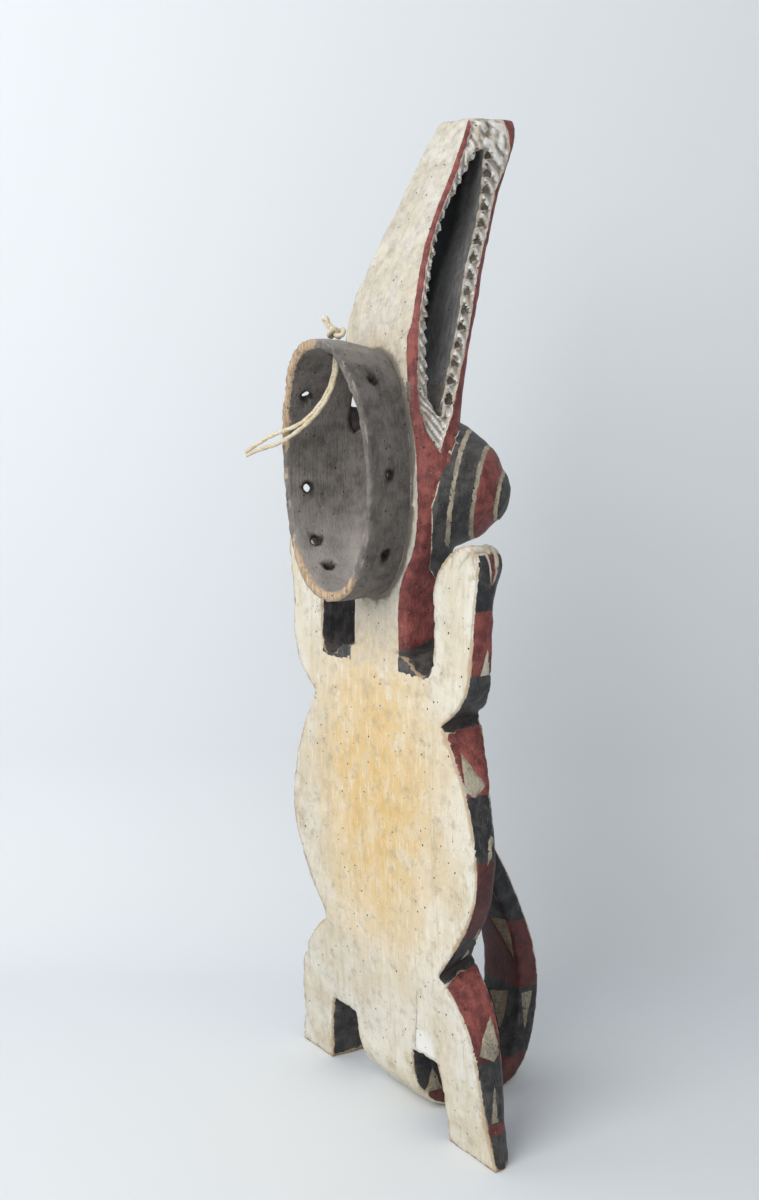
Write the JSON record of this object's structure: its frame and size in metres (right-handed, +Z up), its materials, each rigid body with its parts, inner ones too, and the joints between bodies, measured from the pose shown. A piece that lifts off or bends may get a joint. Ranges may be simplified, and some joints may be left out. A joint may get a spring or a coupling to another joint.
{
  "type": "crocodile mask",
  "caption": "Carved and painted wooden crocodile face mask of West African style, standing on its soles and looped tail.",
  "frame": {"origin": "on the floor under the middle of the carved wood's bounding box", "axes": "+Z up from the soles to the snout's tip, -Y out of the belly and the face cup, +X towards the animal's left"},
  "size_m": [0.3612, 0.2775, 0.996],
  "materials": {
    "painted_wood": "matt mineral paint in cream, red and black on carved wood, worn and chipped",
    "cord_fibre": "twisted cream plant fibre"
  },
  "bodies": {
    "root": {"carved_mask": "painted_wood", "cord_knot": "cord_fibre", "cord_tail_upper": "cord_fibre", "cord_tail_lower": "cord_fibre"}
  },
  "joints": []
}
